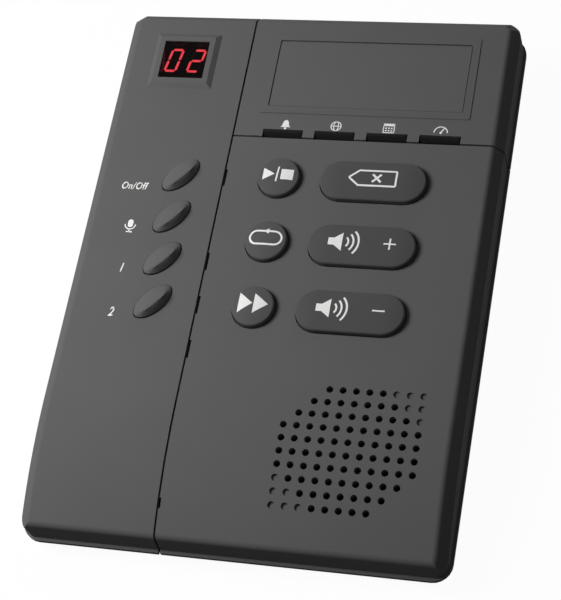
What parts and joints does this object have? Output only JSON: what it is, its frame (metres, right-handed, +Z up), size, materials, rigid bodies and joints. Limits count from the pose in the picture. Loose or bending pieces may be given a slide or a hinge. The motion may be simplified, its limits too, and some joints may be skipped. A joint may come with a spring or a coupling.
{
  "type": "answering machine",
  "caption": "Flat wedge-shaped desk answering machine with sprung round, long and leaf-shaped buttons, small keys, a lit figure display, a drilled speaker grille and rear sockets.",
  "frame": {"origin": "centre of the bounding box at the level of the feet", "axes": "+X to the right seen from the front, +Y from the front edge to the sockets at the rear, +Z up"},
  "size_m": [0.1306, 0.1816, 0.0322],
  "materials": {
    "cover_plastic": "fine moulded grain",
    "tray_plastic": "coarse moulded grain",
    "plate_plastic": "fine brushed film",
    "lens_plastic": "polished dark red-black",
    "display_plastic": "smooth",
    "circuit_board": "solder mask",
    "switch_plastic": "smooth",
    "chip_plastic": "matt moulding",
    "capacitor_sleeve": "shrunk sleeve",
    "header_plastic": "smooth",
    "pressed_steel": "zinc plated",
    "magnet_ferrite": "ground ferrite",
    "cone_paper": "pressed paper",
    "gasket_foam": "open foam",
    "microphone_can": "drawn can",
    "boot_rubber": "matt",
    "socket_plastic": "smooth",
    "foot_rubber": "matt",
    "screw_steel": "zinc plated",
    "button_plastic": "fine moulded grain"
  },
  "bodies": {
    "housing": {"bottom_case": "tray_plastic", "left_cover": "cover_plastic", "main_cover": "cover_plastic", "upper_panel": "cover_plastic", "panel_plate": "plate_plastic", "display_lens": "lens_plastic", "led_display": "display_plastic", "display_board": "circuit_board", "key_board": "circuit_board", "main_board": "circuit_board", "key_switches": "switch_plastic", "board_chips": "chip_plastic", "board_capacitors": "capacitor_sleeve", "board_link": "header_plastic", "speaker_basket": "pressed_steel", "speaker_magnet": "magnet_ferrite", "speaker_cone": "cone_paper", "speaker_gasket": "gasket_foam", "microphone": "microphone_can", "microphone_boot": "boot_rubber", "line_jack": "socket_plastic", "phone_jack": "socket_plastic", "power_jack": "socket_plastic", "rubber_feet": "foot_rubber", "case_screws": "screw_steel", "board_screws": "screw_steel", "speaker_screws": "screw_steel"},
    "power_button": {"power_button": "button_plastic"},
    "memo_button": {"memo_button": "button_plastic"},
    "greeting_one_button": {"greeting_one_button": "button_plastic"},
    "greeting_two_button": {"greeting_two_button": "button_plastic"},
    "play_stop_button": {"play_stop_button": "button_plastic"},
    "repeat_button": {"repeat_button": "button_plastic"},
    "skip_button": {"skip_button": "button_plastic"},
    "delete_button": {"delete_button": "button_plastic"},
    "volume_up_button": {"volume_up_button": "button_plastic"},
    "volume_down_button": {"volume_down_button": "button_plastic"},
    "ringer_key": {"ringer_key": "button_plastic"},
    "language_key": {"language_key": "button_plastic"},
    "day_key": {"day_key": "button_plastic"},
    "speed_key": {"speed_key": "button_plastic"}
  },
  "joints": [
    {"name": "power_press", "type": "slide", "parent": "housing", "child": "power_button", "axis": [0, -0.0698, 0.9976], "range_m": [-0.001, 0], "stiffness_N_per_m": 300},
    {"name": "memo_press", "type": "slide", "parent": "housing", "child": "memo_button", "axis": [0, -0.0698, 0.9976], "range_m": [-0.001, 0], "stiffness_N_per_m": 300},
    {"name": "greeting_one_press", "type": "slide", "parent": "housing", "child": "greeting_one_button", "axis": [0, -0.0698, 0.9976], "range_m": [-0.001, 0], "stiffness_N_per_m": 300},
    {"name": "greeting_two_press", "type": "slide", "parent": "housing", "child": "greeting_two_button", "axis": [0, -0.0698, 0.9976], "range_m": [-0.001, 0], "stiffness_N_per_m": 300},
    {"name": "play_stop_press", "type": "slide", "parent": "housing", "child": "play_stop_button", "axis": [0, -0.0698, 0.9976], "range_m": [-0.001, 0], "stiffness_N_per_m": 300},
    {"name": "repeat_press", "type": "slide", "parent": "housing", "child": "repeat_button", "axis": [0, -0.0698, 0.9976], "range_m": [-0.001, 0], "stiffness_N_per_m": 300},
    {"name": "skip_press", "type": "slide", "parent": "housing", "child": "skip_button", "axis": [0, -0.0698, 0.9976], "range_m": [-0.001, 0], "stiffness_N_per_m": 300},
    {"name": "delete_press", "type": "slide", "parent": "housing", "child": "delete_button", "axis": [0, -0.0698, 0.9976], "range_m": [-0.001, 0], "stiffness_N_per_m": 300},
    {"name": "volume_up_press", "type": "slide", "parent": "housing", "child": "volume_up_button", "axis": [0, -0.0698, 0.9976], "range_m": [-0.001, 0], "stiffness_N_per_m": 300},
    {"name": "volume_down_press", "type": "slide", "parent": "housing", "child": "volume_down_button", "axis": [0, -0.0698, 0.9976], "range_m": [-0.001, 0], "stiffness_N_per_m": 300},
    {"name": "ringer_press", "type": "slide", "parent": "housing", "child": "ringer_key", "axis": [0, -0.0698, 0.9976], "range_m": [-0.001, 0], "stiffness_N_per_m": 300},
    {"name": "language_press", "type": "slide", "parent": "housing", "child": "language_key", "axis": [0, -0.0698, 0.9976], "range_m": [-0.001, 0], "stiffness_N_per_m": 300},
    {"name": "day_press", "type": "slide", "parent": "housing", "child": "day_key", "axis": [0, -0.0698, 0.9976], "range_m": [-0.001, 0], "stiffness_N_per_m": 300},
    {"name": "speed_press", "type": "slide", "parent": "housing", "child": "speed_key", "axis": [0, -0.0698, 0.9976], "range_m": [-0.001, 0], "stiffness_N_per_m": 300}
  ]
}
